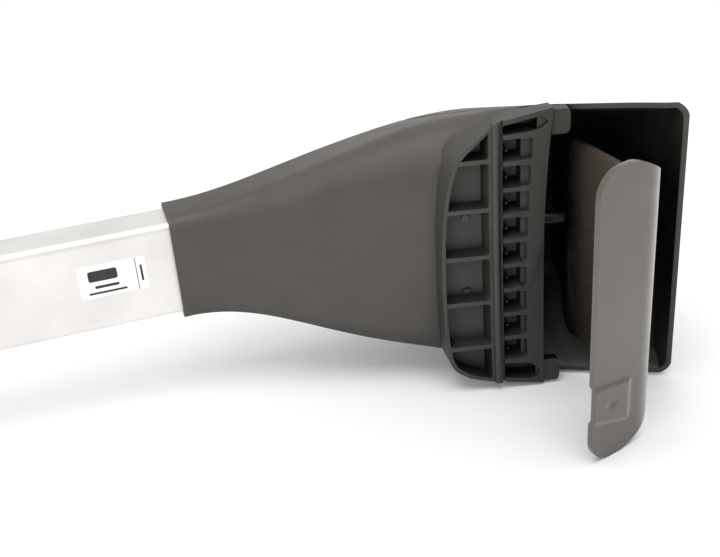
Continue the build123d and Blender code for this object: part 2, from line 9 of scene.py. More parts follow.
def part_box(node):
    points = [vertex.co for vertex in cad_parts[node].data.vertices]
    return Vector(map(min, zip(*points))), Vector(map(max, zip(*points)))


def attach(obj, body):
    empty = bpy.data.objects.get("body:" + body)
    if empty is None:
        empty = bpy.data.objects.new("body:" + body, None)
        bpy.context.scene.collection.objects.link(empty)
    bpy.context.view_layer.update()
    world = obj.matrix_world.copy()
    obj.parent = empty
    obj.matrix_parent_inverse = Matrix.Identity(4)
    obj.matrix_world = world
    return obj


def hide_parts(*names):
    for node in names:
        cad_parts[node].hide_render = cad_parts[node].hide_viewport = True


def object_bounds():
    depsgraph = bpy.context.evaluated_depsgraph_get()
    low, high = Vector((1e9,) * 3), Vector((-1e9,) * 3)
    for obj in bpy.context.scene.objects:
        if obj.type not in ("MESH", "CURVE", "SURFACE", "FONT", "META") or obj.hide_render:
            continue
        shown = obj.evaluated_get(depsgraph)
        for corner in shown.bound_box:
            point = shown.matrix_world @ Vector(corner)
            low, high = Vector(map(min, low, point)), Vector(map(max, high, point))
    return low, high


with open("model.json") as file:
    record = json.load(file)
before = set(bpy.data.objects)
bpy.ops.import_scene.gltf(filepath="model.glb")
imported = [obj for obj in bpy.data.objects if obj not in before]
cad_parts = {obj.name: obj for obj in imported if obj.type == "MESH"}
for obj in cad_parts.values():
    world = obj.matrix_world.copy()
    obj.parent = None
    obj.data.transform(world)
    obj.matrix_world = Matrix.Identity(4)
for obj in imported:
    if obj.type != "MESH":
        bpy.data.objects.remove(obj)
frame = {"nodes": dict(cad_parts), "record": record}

cad_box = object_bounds()
nodes = frame["nodes"]
scene = bpy.context.scene

MM = 0.001

# ------------------------------------------------------------------ camera

LENS = 58.02
SENSOR = 36.0
CAMERA_PLACE = Vector((0.30928, -0.53217, 0.28433))
AZIMUTH, ELEVATION, ROLL = radians(-14.64), radians(30.1), radians(-4.74)


def add_camera():
    """The photograph's viewpoint: below the bar's side, looking along it towards the +X foot."""
    data = bpy.data.cameras.new("camera")
    data.lens = LENS
    data.sensor_width = SENSOR
    data.clip_end = 100
    back = Vector((sin(AZIMUTH) * cos(ELEVATION), -cos(AZIMUTH) * cos(ELEVATION), sin(ELEVATION)))
    right = (-back).cross(Vector((0, 0, 1))).normalized()
    up = right.cross(-back)
    rolled_right = right * cos(ROLL) + up * sin(ROLL)
    rolled_up = up * cos(ROLL) - right * sin(ROLL)
    camera = bpy.data.objects.new("camera", data)
    axes = Matrix((rolled_right, rolled_up, back)).transposed().to_4x4()
    camera.matrix_world = Matrix.Translation(CAMERA_PLACE) @ axes
    scene.collection.objects.link(camera)
    scene.camera = camera


add_camera()

# ------------------------------------------------------------------ materials


# Painted shade in hollows: ambient occlusion within this reach darkens the base colour, over this range of
# its value.
PAINTED_SHADE_REACH = 0.11
PAINTED_SHADE_RANGE = (0.3, 0.78)
MIX_FIRST, MIX_SECOND, MIX_RESULT = 6, 7, 2


class Shading:
    """A material's node tree, with short calls for the nodes that the finishes below use."""

    def __init__(self, name, roughness, metallic=0.0, coat=0.0, specular=0.5):
        self.material = bpy.data.materials.new(name)
        self.material.use_nodes = True
        self.tree = self.material.node_tree
        self.shader = self.tree.nodes["Principled BSDF"]
        self.shader.inputs["Roughness"].default_value = roughness
        self.shader.inputs["Metallic"].default_value = metallic
        self.shader.inputs["Coat Weight"].default_value = coat
        self.shader.inputs["Specular IOR Level"].default_value = specular
        self.place = self.tree.nodes.new("ShaderNodeTexCoord").outputs["Object"]

    def link(self, output, socket):
        self.tree.links.new(output, socket)

    def stretched(self, scale):
        """The object's coordinates, scaled along each axis."""
        node = self.tree.nodes.new("ShaderNodeMapping")
        node.inputs["Scale"].default_value = scale
        self.link(self.place, node.inputs["Vector"])
        return node.outputs["Vector"]

    def noise(self, scale, detail=3.0, vector=None):
        node = self.tree.nodes.new("ShaderNodeTexNoise")
        node.inputs["Scale"].default_value = scale
        node.inputs["Detail"].default_value = detail
        self.link(vector or self.place, node.inputs["Vector"])
        return node.outputs["Fac"]

    def cells(self, scale):
        node = self.tree.nodes.new("ShaderNodeTexVoronoi")
        node.inputs["Scale"].default_value = scale
        self.link(self.place, node.inputs["Vector"])
        return node.outputs["Distance"]

    def ramp(self, value, low, high, start=0.3, end=0.7):
        """Value mapped between two colours or two grey levels."""
        node = self.tree.nodes.new("ShaderNodeValToRGB")
        node.color_ramp.elements[0].position = start
        node.color_ramp.elements[1].position = end
        node.color_ramp.elements[0].color = (*low, 1)
        node.color_ramp.elements[1].color = (*high, 1)
        self.link(value, node.inputs["Fac"])
        return node.outputs["Color"]

    def colour(self, value, low, high, start=0.3, end=0.7, painted_hollow_shade=None):
        """Base colour between two tones; the last argument, if given, paints shade into hollows: ambient
        occlusion darkens the colour there, down to that share deep inside.
        """
        tone = self.ramp(value, low, high, start, end)
        if painted_hollow_shade is not None:
            # Painted shade: the colour is darkened by ambient occlusion where a surface lies deep in a
            # hollow or recess.
            occlusion = self.tree.nodes.new("ShaderNodeAmbientOcclusion")
            occlusion.inputs["Distance"].default_value = PAINTED_SHADE_REACH
            occlusion.samples = 8
            shade = self.ramp(occlusion.outputs["AO"], (painted_hollow_shade,) * 3, (1, 1, 1), *PAINTED_SHADE_RANGE)
            mix = self.tree.nodes.new("ShaderNodeMix")
            mix.data_type = "RGBA"
            mix.blend_type = "MULTIPLY"
            mix.inputs["Factor"].default_value = 1.0
            self.link(tone, mix.inputs[MIX_FIRST])
            self.link(shade, mix.inputs[MIX_SECOND])
            tone = mix.outputs[MIX_RESULT]
        self.link(tone, self.shader.inputs["Base Color"])

    def roughness(self, value, low, high):
        grey = self.ramp(value, (low,) * 3, (high,) * 3)
        self.link(grey, self.shader.inputs["Roughness"])

    def bump(self, value, distance, strength=1.0, under=None):
        node = self.tree.nodes.new("ShaderNodeBump")
        node.inputs["Distance"].default_value = distance
        node.inputs["Strength"].default_value = strength
        self.link(value, node.inputs["Height"])
        if under is not None:
            self.link(under, node.inputs["Normal"])
        self.link(node.outputs["Normal"], self.shader.inputs["Normal"])
        return node.outputs["Normal"]


def moulded(name, low, high, roughness, grain, depth, specular=0.5):
    """Grained moulded plastic: fine pebbles over a slow change of tone, with painted shade darkening it deep
    in hollows and pockets.
    """
    look = Shading(name, roughness, specular=specular)
    look.colour(look.noise(38, 4), low, high, painted_hollow_shade=0.03)
    look.roughness(look.noise(90), roughness - 0.05, roughness + 0.06)
    broad = look.bump(look.noise(260, 4), depth * 2, 0.35)
    look.bump(look.cells(grain), depth, 0.6, broad)
    return look.material


def extruded_aluminium(name):
    """Satin anodised extrusion with fine lines along the bar."""
    look = Shading(name, 0.34, metallic=0.75)
    lines = look.noise(1.0, 6, look.stretched((6, 2600, 2600)))
    look.colour(look.noise(30), (0.72, 0.70, 0.68), (0.82, 0.80, 0.78))
    look.roughness(lines, 0.30, 0.44)
    look.bump(lines, 0.00004, 0.5)
    return look.material


def coated_steel(name, low, high, roughness, coat):
    """Black electrocoat on pressed sheet: glossy, with a slight orange peel, and painted shade darkening it
    deep in hollows.
    """
    look = Shading(name, roughness, coat=coat)
    look.shader.inputs["Coat Roughness"].default_value = 0.12
    look.colour(look.noise(24, 5), low, high, painted_hollow_shade=0.04)
    look.roughness(look.noise(70), roughness - 0.05, roughness + 0.07)
    look.bump(look.noise(420, 2), 0.00005, 0.35)
    return look.material


def metal(name, low, high, roughness, stretch):
    """Bare or plated metal with fine scratches, and painted shade darkening it deep in hollows."""
    look = Shading(name, roughness, metallic=1.0)
    marks = look.noise(1.0, 5, look.stretched(stretch))
    look.colour(look.noise(120), low, high, painted_hollow_shade=0.04)
    look.roughness(marks, roughness - 0.08, roughness + 0.12)
    look.bump(marks, 0.00003, 0.5)
    return look.material


def rubber(name):
    look = Shading(name, 0.72)
    look.colour(look.noise(60), (0.018, 0.018, 0.018), (0.028, 0.028, 0.027))
    look.bump(look.noise(1.0, 4, look.stretched((20, 3000, 3000))), 0.00006, 0.5)
    return look.material


def film(name):
    look = Shading(name, 0.32, coat=0.4)
    look.colour(look.noise(15), (0.86, 0.86, 0.86), (0.92, 0.92, 0.92))
    look.bump(look.noise(300), 0.00003, 0.3)
    return look.material


def ink(name):
    look = Shading(name, 0.4)
    look.colour(look.noise(900, 3), (0.010, 0.010, 0.011), (0.022, 0.022, 0.024))
    look.bump(look.noise(2000), 0.00001, 0.3)
    return look.material


finishes = {
    "bar_aluminium": extruded_aluminium("aluminium"),
    "strip_rubber": rubber("rubber"),
    "label_film": film("film"),
    "casing_plastic": moulded("casing", (0.054, 0.048, 0.040), (0.066, 0.059, 0.049), 0.50, 2600, 0.00006),
    "cover_plastic": moulded("cover", (0.044, 0.040, 0.034), (0.055, 0.050, 0.043), 0.46, 2600, 0.00006),
    "pad_plastic": moulded("pad", (0.042, 0.040, 0.034), (0.054, 0.051, 0.044), 0.46, 1800, 0.00004),
    "coated_steel": coated_steel("bracket", (0.012, 0.012, 0.012), (0.022, 0.021, 0.020), 0.38, 0.3),
    "claw_steel": coated_steel("claw", (0.070, 0.056, 0.044), (0.095, 0.077, 0.061), 0.26, 0.7),
    "plated_steel": metal("zinc", (0.50, 0.50, 0.48), (0.66, 0.66, 0.64), 0.34, (900, 900, 900)),
    "lock_plastic": moulded("lock", (0.022, 0.022, 0.021), (0.032, 0.032, 0.031), 0.40, 3200, 0.00003),
    "lock_metal": metal("chrome", (0.62, 0.62, 0.63), (0.74, 0.74, 0.75), 0.20, (60, 3000, 60)),
}


def paint(piece, slot):
    """Gives a piece its one material: the finish made for the given slot of the record."""
    piece.data.materials.clear()
    piece.data.materials.append(finishes[slot])
    return piece


node_slots = {entry["node"]: entry["material_slot"] for entry in frame["record"]["subparts"]}
for name, node in nodes.items():
    node.data.materials.clear()
    node.data.materials.append(finishes[node_slots[name]])

# ------------------------------------------------------------------ sizes read from the frame

mouth_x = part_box("right_casing")[0].x
label_low, label_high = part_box("info_label")

PAD_SLOPE = radians(12.5)
PAD_THICKNESS = 12.7 * MM
BEAD_FROM_MOUTH = 151.0 * MM
SEAM_FROM_MOUTH = 124.0 * MM
SEAM_DEPTH = 50.0 * MM

# ------------------------------------------------------------------ mesh helpers


def make_piece(name, vertices, faces, smooth=True):
    """A mesh object from points and faces, with its normals facing outwards."""
    mesh = bpy.data.meshes.new(name)
    mesh.from_pydata([tuple(v) for v in vertices], [], faces)
    work = bmesh.new()
    work.from_mesh(mesh)
    bmesh.ops.remove_doubles(work, verts=work.verts, dist=1e-6)
    bmesh.ops.recalc_face_normals(work, faces=work.faces)
    work.to_mesh(mesh)
    work.free()
    mesh.polygons.foreach_set("use_smooth", [smooth] * len(mesh.polygons))
    piece = bpy.data.objects.new(name, mesh)
    scene.collection.objects.link(piece)
    return piece


def applied(piece):
    """The piece with its modifiers made part of its mesh."""
    graph = bpy.context.evaluated_depsgraph_get()
    mesh = bpy.data.meshes.new_from_object(piece.evaluated_get(graph))
    piece.modifiers.clear()
    piece.data = mesh
    return piece


def bevelled(piece, width, segments=2, angle=radians(32)):
    """Rounds a piece's sharp edges and shades it smooth between them."""
    bevel = piece.modifiers.new("bevel", "BEVEL")
    bevel.width = width
    bevel.segments = segments
    bevel.limit_method = "ANGLE"
    bevel.angle_limit = angle
    bevel.use_clamp_overlap = True
    bevel.harden_normals = False
    applied(piece)
    piece.data.polygons.foreach_set("use_smooth", [True] * len(piece.data.polygons))
    piece.data.set_sharp_from_angle(angle=radians(40))
    return piece


def cut(piece, tool, operation="DIFFERENCE"):
    """A boolean between two closed meshes; the tool is thrown away."""
    change = piece.modifiers.new("cut", "BOOLEAN")
    change.operation = operation
    change.solver = "MANIFOLD"
    change.object = tool
    applied(piece)
    bpy.data.objects.remove(tool)
    return piece


def mirrored(piece, name):
    """The same piece for the other foot."""
    mesh = piece.data.copy()
    mesh.transform(Matrix.Scale(-1, 4, Vector((1, 0, 0))))
    mesh.flip_normals()
    other = bpy.data.objects.new(name, mesh)
    scene.collection.objects.link(other)
    return other


def fit_on_both(piece, name, slot, body, *replaced):
    """Names a right-hand piece, paints it, sets it on its body, and makes its left-hand twin."""
    piece.name = f"right_{name}"
    for side, item in (("right", piece), ("left", mirrored(piece, f"left_{name}"))):
        paint(item, slot)
        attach(item, "root" if body == "root" else f"{side}_{body}")
        if replaced:
            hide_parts(*(f"{side}_{node}" for node in replaced))


def copied(node, name):
    """A new piece that starts from a CAD node's shape, with its doubled points joined."""
    mesh = nodes[node].data.copy()
    work = bmesh.new()
    work.from_mesh(mesh)
    bmesh.ops.remove_doubles(work, verts=work.verts, dist=2e-6)
    bmesh.ops.dissolve_limit(work, angle_limit=radians(0.6), verts=work.verts, edges=work.edges)
    work.to_mesh(mesh)
    work.free()
    if "custom_normal" in mesh.attributes:
        mesh.attributes.remove(mesh.attributes["custom_normal"])
    piece = bpy.data.objects.new(name, mesh)
    scene.collection.objects.link(piece)
    return piece


def curve_through(points, steps):
    """Points along a smooth Catmull-Rom curve through a few given ones."""
    padded = [points[0], *points, points[-1]]
    line = []
    for i in range(1, len(padded) - 2):
        p0, p1, p2, p3 = (Vector(p) for p in padded[i - 1 : i + 3])
        for k in range(steps):
            t = k / steps
            line.append(
                0.5
                * (
                    2 * p1
                    + (p2 - p0) * t
                    + (2 * p0 - 5 * p1 + 4 * p2 - p3) * t * t
                    + (3 * p1 - p0 - 3 * p2 + p3) * t**3
                )
            )
    line.append(Vector(points[-1]))
    return line


# ------------------------------------------------------------------ claw

CLAW_SHEET = 3.0 * MM
LIP_TILT = radians(18.0)
ARM_TILT = radians(10.0)
FLANGE_TILT = radians(15.0)
LIP_LENGTH = 42.5 * MM
CLAW_BEND = 15.0 * MM
CLAW_DROP = 142.0 * MM
CLAW_REACH = 166.0 * MM
KNEE_DEPTH = 58.0 * MM
FLANGE_LENGTH = 36.0 * MM
CLAW_HALF_WIDTH = 77.6 * MM
CLAW_TOP_SHARE = 0.97
ARM_HALF_WIDTH = 56.0 * MM
FLANGE_HALF_WIDTH = 34.0 * MM
LIP_CORNER = 13.0 * MM
TAB_TOP, TAB_FOOT, TAB_STEP = 33.0 * MM, 52.5 * MM, 1.6 * MM
DIMPLE_PLACE, DIMPLE_STEP = (11 * MM, 45.8 * MM), 1.2 * MM


def rounded_path(corners, radius, arc_steps):
    """Points along straight runs joined by arcs, and how far along the path each one is."""
    path = [corners[0].copy()]
    for before, corner, after in zip(corners, corners[1:], corners[2:]):
        arriving = (corner - before).normalized()
        leaving = (after - corner).normalized()
        turn = arriving.angle(leaving)
        setback = radius * tan(turn / 2)
        start = corner - arriving * setback
        side = (leaving - arriving * arriving.dot(leaving)).normalized()
        centre = start + side * radius
        for k in range(arc_steps + 1):
            angle = turn * k / arc_steps
            path.append(centre - side * (radius * cos(angle)) + arriving * (radius * sin(angle)))
    path.append(corners[-1].copy())
    return path


def spaced(path, gap):
    """The path with points added so that no step is longer than gap."""
    fine = [path[0]]
    for start, end in zip(path, path[1:]):
        steps = max(1, int((end - start).length / gap + 0.999))
        fine += [start.lerp(end, k / steps) for k in range(1, steps + 1)]
    return fine


def smooth_step(value, low, high):
    t = min(max((value - low) / (high - low), 0.0), 1.0)
    return t * t * (3 - 2 * t)


def claw_half_width(along, bend_start, knee_at):
    """Half the claw's width at a distance from its free edge."""
    half = CLAW_HALF_WIDTH - (CLAW_HALF_WIDTH - ARM_HALF_WIDTH) * smooth_step(
        along, bend_start - 12 * MM, bend_start + 30 * MM
    )
    half -= (ARM_HALF_WIDTH - FLANGE_HALF_WIDTH) * smooth_step(along, knee_at - 6 * MM, knee_at + 12 * MM)
    if along < LIP_CORNER:
        short = LIP_CORNER - along
        half -= LIP_CORNER - sqrt(max(LIP_CORNER**2 - short**2, 0.0))
    return half


def tab_press(along, z):
    """How far the lip is pressed at a place: a tab sheared along its upper side, with a dimple."""
    sheared = 1 - smooth_step(z + TAB_TOP + 0.15 * along, -0.5 * MM, 0.5 * MM)
    rounded = smooth_step(z + TAB_FOOT + 0.3 * along, -1.6 * MM, 1.6 * MM)
    ended = 1 - smooth_step(along, 21 * MM, 24.5 * MM)
    away = sqrt((along - DIMPLE_PLACE[0]) ** 2 + (z + DIMPLE_PLACE[1]) ** 2)
    dimple = 1 - smooth_step(away, 1.0 * MM, 3.2 * MM)
    return -TAB_STEP * sheared * rounded * ended + DIMPLE_STEP * dimple


def build_claw():
    """Pressed sheet: lip, bend, arm, knee and bolt flange, on a fine grid along and across."""
    edge = Vector((mouth_x + CLAW_REACH, -CLAW_DROP, 0))
    bend = edge + Vector((cos(LIP_TILT), sin(LIP_TILT), 0)) * LIP_LENGTH
    rise = (-KNEE_DEPTH - bend.y) / cos(ARM_TILT)
    knee = bend + Vector((-sin(ARM_TILT), cos(ARM_TILT), 0)) * rise
    tip = knee + Vector((sin(FLANGE_TILT), cos(FLANGE_TILT), 0)) * FLANGE_LENGTH
    path = spaced(rounded_path([edge, bend, knee, tip], CLAW_BEND, 14), 1.2 * MM)
    start_run = (path[1] - path[0]).normalized()
    rounding = [path[0] + start_run * (LIP_CORNER * (1 - cos(pi / 2 * k / 10))) for k in range(11)]
    path = rounding + [p for p in path if (p - path[0]).length > LIP_CORNER * 1.02]
    along = [0.0]
    for start, end in zip(path, path[1:]):
        along.append(along[-1] + (end - start).length)
    bend_start = LIP_LENGTH - CLAW_BEND * 0.87
    knee_at = min(range(len(path)), key=lambda i: (path[i] - knee).length)
    columns = 190
    grid = []
    for i, point in enumerate(path):
        ahead = path[min(i + 1, len(path) - 1)] - path[max(i - 1, 0)]
        normal = Vector((-ahead.y, ahead.x, 0)).normalized()
        half = claw_half_width(along[i], bend_start, along[knee_at])
        row = []
        for k in range(columns + 1):
            z = half * sin(pi / 2 * (2 * k / columns - 1) * 0.94) / sin(pi / 2 * 0.94)
            z *= CLAW_TOP_SHARE if z > 0 else 1.0
            pressed = tab_press(along[i], z)
            row.append((point + normal * pressed + Vector((0, 0, z)), normal))
        grid.append(row)
    vertices, faces = [], []
    rows, width = len(grid), columns + 1
    for shift in (-CLAW_SHEET / 2, CLAW_SHEET / 2):
        vertices += [place + normal * shift for row in grid for place, normal in row]
    layer = rows * width
    for i in range(rows - 1):
        for k in range(columns):
            a = i * width + k
            faces.append((a, a + 1, a + width + 1, a + width))
            faces.append((layer + a, layer + a + width, layer + a + width + 1, layer + a + 1))
    border = list(range(width))
    border += [i * width + columns for i in range(1, rows)]
    border += [(rows - 1) * width + k for k in range(columns - 1, -1, -1)]
    border += [i * width for i in range(rows - 2, 0, -1)]
    for a, b in zip(border, border[1:] + border[:1]):
        faces.append((a, layer + a, layer + b, b))
    claw = make_piece("claw_sheet", vertices, faces)
    return bevelled(claw, 0.7 * MM, 3, radians(50))


fit_on_both(build_claw(), "claw_sheet", "claw_steel", "claw_body", "claw")

# ------------------------------------------------------------------ roof pad

PAD_INBOARD = 27.5 * MM
PAD_OUTBOARD = 23.5 * MM
PAD_HALF_WIDTH = 73.0 * MM
PAD_CORNER_RUN = 3.5 * MM
PAD_FLARE = 5.2 * MM
PAD_DRAFT_RUN = 2.6 * MM
PAD_BOW = 2.5 * MM
PAD_WALL = 1.9 * MM
POCKET_DEPTH = 8.0 * MM
LEDGE_DEPTH = 2.6 * MM
RIB = 2.3 * MM
BEAD_HALF_WIDTH = 2.1 * MM
BEAD_HEIGHT = 1.6 * MM
INNER_RIB_PITCH, INNER_RIB_SHIFT = 26.1 * MM, 1.2 * MM
OUTER_RIB_PITCH, OUTER_RIB_SHIFT, OUTER_RIBS = 14.0 * MM, 2.1 * MM, 10
OUTER_START, OUTER_DEEP_END = 3.1 * MM, 12.6 * MM
EAR_HALF_WIDTH, EAR_THICKNESS = 6.4 * MM, 5.0 * MM
GROOVE_DEPTH = 1.4 * MM
SCREW_HOLE_RADIUS = 2.2 * MM
EARS = ((70.2 * MM, 35.3 * MM), (-69.4 * MM, 32.0 * MM))
SCREW_PLACES = ((-14.5 * MM, 21 * MM), (-14.5 * MM, -21 * MM))

# The pad's inboard edge, as shares of its reach inboard and of its half width, underneath and at its seam.
UNDER_SHARES = ((0.36, 0.88), (0.72, 0.72), (0.93, 0.36), (1.0, -0.18), (0.94, -0.76), (0.62, -0.93))
SEAM_SHARES = ((0.34, 0.92), (0.72, 0.83), (0.94, 0.50), (1.0, -0.18), (0.95, -0.72), (0.68, -0.92))

seam_y = -SEAM_DEPTH - (BEAD_FROM_MOUTH - SEAM_FROM_MOUTH) * tan(PAD_SLOPE)
bead_point = Vector((mouth_x + BEAD_FROM_MOUTH, seam_y - PAD_THICKNESS / cos(PAD_SLOPE), 0))
pad_out = Vector((cos(PAD_SLOPE), -sin(PAD_SLOPE), 0))
pad_up = Vector((sin(PAD_SLOPE), cos(PAD_SLOPE), 0))


def on_pad(a, z, height):
    """A place in the pad's own frame: a outboard from the bead, z along it, height up from its underside."""
    return bead_point + pad_out * a + pad_up * height + Vector((0, 0, z))


def pad_outline(shrink=0.0, shares=UNDER_SHARES, grow=0.0, tuck=0.0):
    """The pad's outline, as the CAD model has it, with its edges moved inwards by shrink."""
    edge = PAD_INBOARD - shrink + grow
    half = PAD_HALF_WIDTH - shrink
    outboard = PAD_OUTBOARD - shrink
    corner = PAD_FLARE - tuck
    curve = curve_through([(0, half), *[(-a * edge, z * half) for a, z in shares], (0, -half)], 8)
    low, high = -half - 0.6 * corner, half + corner
    side = []
    for k in range(13):
        t = k / 12
        bulge = PAD_CORNER_RUN * max(2 * t - 1, 0) ** 2
        side.append(Vector((outboard + bulge, low + (high - low) * t)))
    return curve + side


def clipped(outline, axis, limit, keep_above):
    """The part of a convex outline on one side of a line across it."""
    kept = []
    for start, end in zip(outline, outline[1:] + outline[:1]):
        inside_start = (start[axis] >= limit) == keep_above
        inside_end = (end[axis] >= limit) == keep_above
        if inside_start:
            kept.append(Vector(start))
        if inside_start != inside_end:
            kept.append(start.lerp(end, (limit - start[axis]) / (end[axis] - start[axis])))
    return kept


def softened(outline, radius, steps=4):
    """An outline with its sharp corners rounded."""
    tidy = [p for p, q in zip(outline, outline[1:] + outline[:1]) if (p - q).length > 0.05 * MM]
    result = []
    for before, corner, after in zip(tidy[-1:] + tidy[:-1], tidy, tidy[1:] + tidy[:1]):
        back, ahead = before - corner, after - corner
        if back.angle(ahead) > radians(155):
            result.append(corner)
            continue
        reach = min(radius, back.length * 0.45, ahead.length * 0.45)
        start = corner + back.normalized() * reach
        end = corner + ahead.normalized() * reach
        for k in range(steps + 1):
            t = k / steps
            result.append(start * (1 - t) ** 2 + corner * (2 * t * (1 - t)) + end * t**2)
    return result


def pocket_tool(outline, depth, draft, lower_draft=0.0, outer_draft=0.0):
    """A tapered plug that cuts a pocket: full size at the mouth, smaller at its floor."""
    low_z = min(p.y for p in outline)
    high_z = max(p.y for p in outline)
    low_a = min(p.x for p in outline)
    high_a = max(p.x for p in outline)
    middle = Vector(((low_a + high_a) / 2, (low_z + high_z) / 2))
    floor = []
    for p in outline:
        across = (p.x - middle.x) / max(high_a - middle.x, 1e-9)
        up = (p.y - middle.y) / max(high_z - middle.y, 1e-9)
        down_share = max(-up, 0.0)
        out_share = max(across, 0.0)
        a = p.x - across * draft - out_share * outer_draft
        z = p.y - up * draft + down_share * lower_draft
        floor.append(Vector((a, z)))
    count = len(outline)
    mouth_height = -3 * MM
    vertices = [on_pad(p.x, p.y, mouth_height) for p in outline]
    vertices += [on_pad(p.x, p.y, 0) for p in outline]
    vertices += [on_pad(p.x, p.y, depth) for p in floor]
    faces = [tuple(range(count)), tuple(range(2 * count, 3 * count))]
    for layer in (0, count):
        for i in range(count):
            j = (i + 1) % count
            faces.append((layer + i, layer + j, layer + count + j, layer + count + i))
    return vertices, faces


def joined_tool(parts):
    """One mesh object made of several closed plugs that don't touch."""
    vertices, faces = [], []
    for points, rings in parts:
        first = len(vertices)
        vertices += points
        faces += [tuple(first + i for i in ring) for ring in rings]
    return make_piece("tool", vertices, faces, smooth=False)


def box_outline(a0, a1, z0, z1):
    return [Vector((a0, z0)), Vector((a1, z0)), Vector((a1, z1)), Vector((a0, z1))]


def inner_pockets():
    """The wide pockets between the inboard arc and the bead."""
    field = clipped(pad_outline(PAD_WALL), 0, -3.5 * MM, False)
    walls = [INNER_RIB_SHIFT + step * INNER_RIB_PITCH for step in range(-2, 3)]
    limits = [-1.0, *walls, 1.0]
    parts = []
    for low, high in zip(limits, limits[1:]):
        cell = clipped(clipped(field, 1, low + RIB / 2, True), 1, high - RIB / 2, False)
        parts.append(pocket_tool(softened(cell, 1.6 * MM), POCKET_DEPTH, 0.5 * MM, 0.9 * MM, 2.4 * MM))
    return parts


def outer_walls():
    middle = (OUTER_RIBS - 1) / 2
    return [OUTER_RIB_SHIFT + (step - middle) * OUTER_RIB_PITCH for step in range(OUTER_RIBS)]


def outer_pockets(deep):
    """The row of narrow pockets outboard of the bead: their deep ends, or the ledges beyond them."""
    walls = outer_walls()
    parts = []
    for low, high in zip(walls, walls[1:]):
        z0, z1 = low + RIB / 2, high - RIB / 2
        end = (15.0 + 3.2 * max((z0 + z1) / 2 / PAD_HALF_WIDTH, 0.0)) * MM
        if deep:
            cell = softened(box_outline(OUTER_START, OUTER_DEEP_END, z0, z1), 0.9 * MM)
            parts.append(pocket_tool(cell, POCKET_DEPTH + 1.0 * MM, 0.3 * MM, 2.6 * MM, 1.2 * MM))
        else:
            radius = 4.5 * MM if low < 0 < high else 1.2 * MM
            ledge = box_outline(OUTER_DEEP_END - 2 * MM, end, z0 + 0.5 * MM, z1 - 0.3 * MM)
            cell = softened(ledge, radius, 6)
            parts.append(pocket_tool(cell, LEDGE_DEPTH, 0.3 * MM, 0.4 * MM, 0.8 * MM))
    return parts


def end_pockets():
    """The long pockets at the two ends of the outboard row, which point towards the ears."""
    top = outer_walls()[-1] + RIB / 2
    low = outer_walls()[0] - RIB / 2
    mm = [Vector((a * MM, z * MM)) for a, z in ((3.1, 71.2), (21.5, 74.6), (25.0, 71.6), (21.5, 68.6))]
    upper = [Vector((OUTER_START, top)), Vector((17 * MM, top + 1 * MM)), mm[3], mm[2], mm[1], mm[0]]
    corners = ((21.4, -67.0), (21.0, -71.0), (17.5, -72.6), (3.1, -70.9))
    lower = [Vector((3.1 * MM, low)), Vector((16.0 * MM, low - 1.0 * MM))]
    lower += [Vector((a * MM, z * MM)) for a, z in corners]
    return [
        pocket_tool(softened(upper, 1.4 * MM), POCKET_DEPTH, 0.4 * MM, 1.2 * MM, 0.6 * MM),
        pocket_tool(softened(lower, 1.4 * MM), POCKET_DEPTH, 0.4 * MM, 1.2 * MM, 0.6 * MM),
    ]


def prism(outline, low, high):
    """A closed straight-sided plug on the pad, as points and faces."""
    count = len(outline)
    vertices = [on_pad(p[0], p[1], low) for p in outline] + [on_pad(p[0], p[1], high) for p in outline]
    faces = [tuple(range(count)), tuple(range(count, 2 * count))]
    faces += [(i, (i + 1) % count, count + (i + 1) % count, count + i) for i in range(count)]
    return vertices, faces


def circle_outline(a, z, radius, steps=20):
    turns = [2 * pi * k / steps for k in range(steps)]
    return [Vector((a + radius * cos(t), z + radius * sin(t))) for t in turns]


def bead_body():
    """The rounded bead that bears on the roof, from one end of the pad to the other."""
    rounding = [(-BEAD_HALF_WIDTH * cos(pi * k / 10), -BEAD_HEIGHT * sin(pi * k / 10)) for k in range(11)]
    profile = [(-BEAD_HALF_WIDTH, 3 * MM), *rounding, (BEAD_HALF_WIDTH, 3 * MM)]
    reach = PAD_HALF_WIDTH - 0.2 * MM
    steps = 24
    vertices, faces = [], []
    for k in range(steps + 1):
        z = -reach + 2 * reach * k / steps
        vertices += [on_pad(a, z, height) for a, height in profile]
    count = len(profile)
    for k in range(steps):
        for i in range(count):
            j = (i + 1) % count
            faces.append((k * count + i, k * count + j, (k + 1) * count + j, (k + 1) * count + i))
    faces += [tuple(range(count)), tuple(steps * count + i for i in range(count))]
    return make_piece("bead", vertices, faces)


def ear_body(z, end):
    """A rounded ear that hooks under the cover."""
    start = PAD_OUTBOARD - 4 * MM
    outline = softened(box_outline(start, end, z - EAR_HALF_WIDTH, z + EAR_HALF_WIDTH), 3.2 * MM, 8)
    vertices, faces = prism(outline, 1.2 * MM, 1.2 * MM + EAR_THICKNESS)
    return make_piece("ear", vertices, faces)


def pins():
    """Small locating pins that stand on the floors of the outboard pockets."""
    parts = []
    walls = outer_walls()
    for low, high in zip(walls, walls[1:]):
        centre = (OUTER_START + 2.2 * MM, low + 0.42 * (high - low))
        parts.append(prism(circle_outline(*centre, 0.55 * MM, 10), 3.0 * MM, POCKET_DEPTH + 1.8 * MM))
        wall, end = low + RIB / 2, OUTER_DEEP_END + 0.4 * MM
        gusset = box_outline(OUTER_START - 0.6 * MM, end, wall - 0.6 * MM, wall + 0.9 * MM)
        points, rings = prism(gusset, 1.6 * MM, POCKET_DEPTH + 1.8 * MM)
        points[1] = on_pad(end, gusset[1].y, 5.5 * MM)
        points[2] = on_pad(end, gusset[2].y, 5.5 * MM)
        parts.append((points, rings))
    return parts


def bowed(piece):
    """Hollows the pad's underside towards mid width, as a roof is crowned."""
    for vertex in piece.data.vertices:
        offset = vertex.co - bead_point
        height = offset.dot(pad_up)
        share = max(1 - max(height, 0.0) / PAD_THICKNESS, 0.0)
        lift = PAD_BOW * (1 - (offset.z / PAD_HALF_WIDTH) ** 2) * share
        vertex.co += pad_up * max(lift, 0.0)
    return piece


